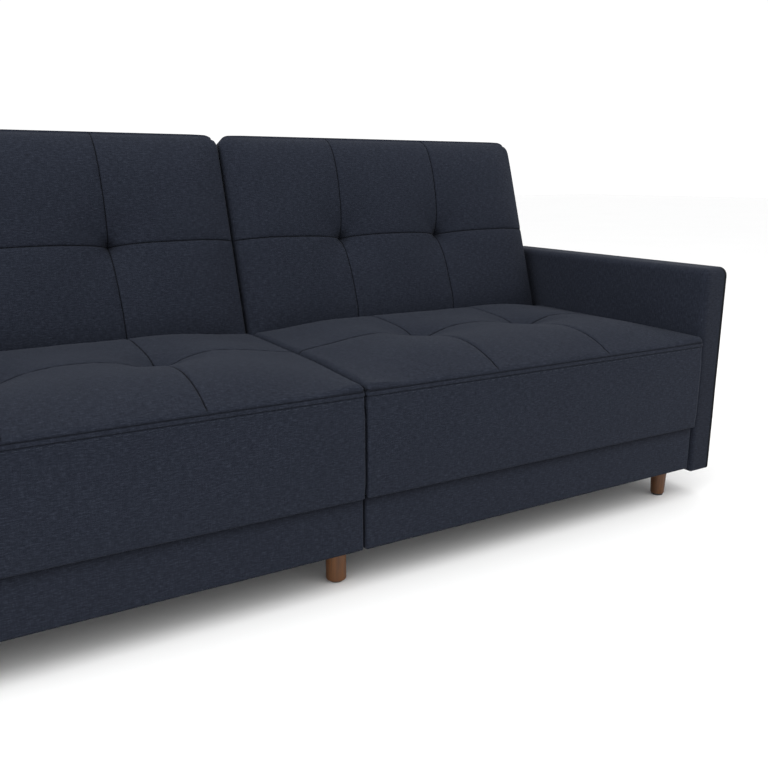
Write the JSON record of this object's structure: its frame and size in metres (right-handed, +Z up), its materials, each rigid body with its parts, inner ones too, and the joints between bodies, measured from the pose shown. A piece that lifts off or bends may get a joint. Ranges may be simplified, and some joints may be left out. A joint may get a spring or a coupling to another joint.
{
  "type": "futon sofa bed",
  "caption": "Split-back futon sofa bed with tufted seats and backs that recline flat on ratchet hinges, slim track arms and turned wooden legs.",
  "frame": {"origin": "on the floor, under the middle of the upright sofa", "axes": "+Z up, -Y to the front, +X to the arm on the right of someone facing the sofa"},
  "size_m": [1.942, 0.8426, 0.8626],
  "materials": {
    "upholstery": "matte",
    "black_cloth": "matte",
    "coil_pockets": "matte",
    "walnut": "satin",
    "timber": "matte",
    "plywood": "matte",
    "black_steel": "satin",
    "zinc_steel": "satin",
    "black_plastic": "matte"
  },
  "bodies": {
    "base": {"arm_bolts": "zinc_steel", "arm_spacers": "black_plastic", "centre_front_leg": "walnut", "centre_rear_leg": "walnut", "corner_blocks": "timber", "hinge_post_bolts": "zinc_steel", "hinge_posts": "timber", "joining_bolts": "zinc_steel", "joining_spacers": "black_plastic", "left_arm_cover": "upholstery", "left_arm_frame": "timber", "left_base_cover": "upholstery", "left_dust_cover": "black_cloth", "left_front_leg": "walnut", "left_front_rail": "timber", "left_hinge_fixed_arms": "black_steel", "left_rear_leg": "walnut", "left_rear_rail": "timber", "left_seat_cushion": "upholstery", "left_seat_deck": "plywood", "left_seat_pocket_coils": "coil_pockets", "left_side_rails": "timber", "leg_glides": "black_plastic", "leg_hanger_bolts": "zinc_steel", "leg_plates": "black_steel", "right_arm_cover": "upholstery", "right_arm_frame": "timber", "right_base_cover": "upholstery", "right_dust_cover": "black_cloth", "right_front_leg": "walnut", "right_front_rail": "timber", "right_hinge_fixed_arms": "black_steel", "right_rear_leg": "walnut", "right_rear_rail": "timber", "right_seat_cushion": "upholstery", "right_seat_deck": "plywood", "right_seat_pocket_coils": "coil_pockets", "right_side_rails": "timber"},
    "right_back": {"right_back_cushion": "upholstery", "right_back_frame": "timber", "right_back_rear_panel": "upholstery", "right_back_webbing": "black_cloth", "right_hinge_moving_arms": "black_steel", "right_hinge_rivets": "zinc_steel", "right_hinge_screws": "zinc_steel", "right_pawl_springs": "zinc_steel"},
    "right_inner_pawl": {"right_inner_pawl": "black_steel"},
    "right_outer_pawl": {"right_outer_pawl": "black_steel"},
    "left_back": {"left_back_cushion": "upholstery", "left_back_frame": "timber", "left_back_rear_panel": "upholstery", "left_back_webbing": "black_cloth", "left_hinge_moving_arms": "black_steel", "left_hinge_rivets": "zinc_steel", "left_hinge_screws": "zinc_steel", "left_pawl_springs": "zinc_steel"},
    "left_inner_pawl": {"left_inner_pawl": "black_steel"},
    "left_outer_pawl": {"left_outer_pawl": "black_steel"}
  },
  "joints": [
    {"name": "right_back_recline", "type": "hinge", "parent": "base", "child": "right_back", "pos_m": [0.4425, 0.19442, 0.367], "axis": [-1, 0, 0], "range_deg": [-10, 72]},
    {"name": "right_inner_pawl_lift", "type": "hinge", "parent": "right_back", "child": "right_inner_pawl", "pos_m": [0.052, 0.21914, 0.40103], "axis": [-1, 0, 0], "range_deg": [-10, 6], "stiffness_Nm_per_rad": 0.2},
    {"name": "right_outer_pawl_lift", "type": "hinge", "parent": "right_back", "child": "right_outer_pawl", "pos_m": [0.833, 0.21914, 0.40103], "axis": [-1, 0, 0], "range_deg": [-10, 6], "stiffness_Nm_per_rad": 0.2},
    {"name": "left_back_recline", "type": "hinge", "parent": "base", "child": "left_back", "pos_m": [-0.4425, 0.19442, 0.367], "axis": [-1, 0, 0], "range_deg": [-10, 72]},
    {"name": "left_inner_pawl_lift", "type": "hinge", "parent": "left_back", "child": "left_inner_pawl", "pos_m": [-0.052, 0.21914, 0.40103], "axis": [-1, 0, 0], "range_deg": [-10, 6], "stiffness_Nm_per_rad": 0.2},
    {"name": "left_outer_pawl_lift", "type": "hinge", "parent": "left_back", "child": "left_outer_pawl", "pos_m": [-0.833, 0.21914, 0.40103], "axis": [-1, 0, 0], "range_deg": [-10, 6], "stiffness_Nm_per_rad": 0.2}
  ]
}
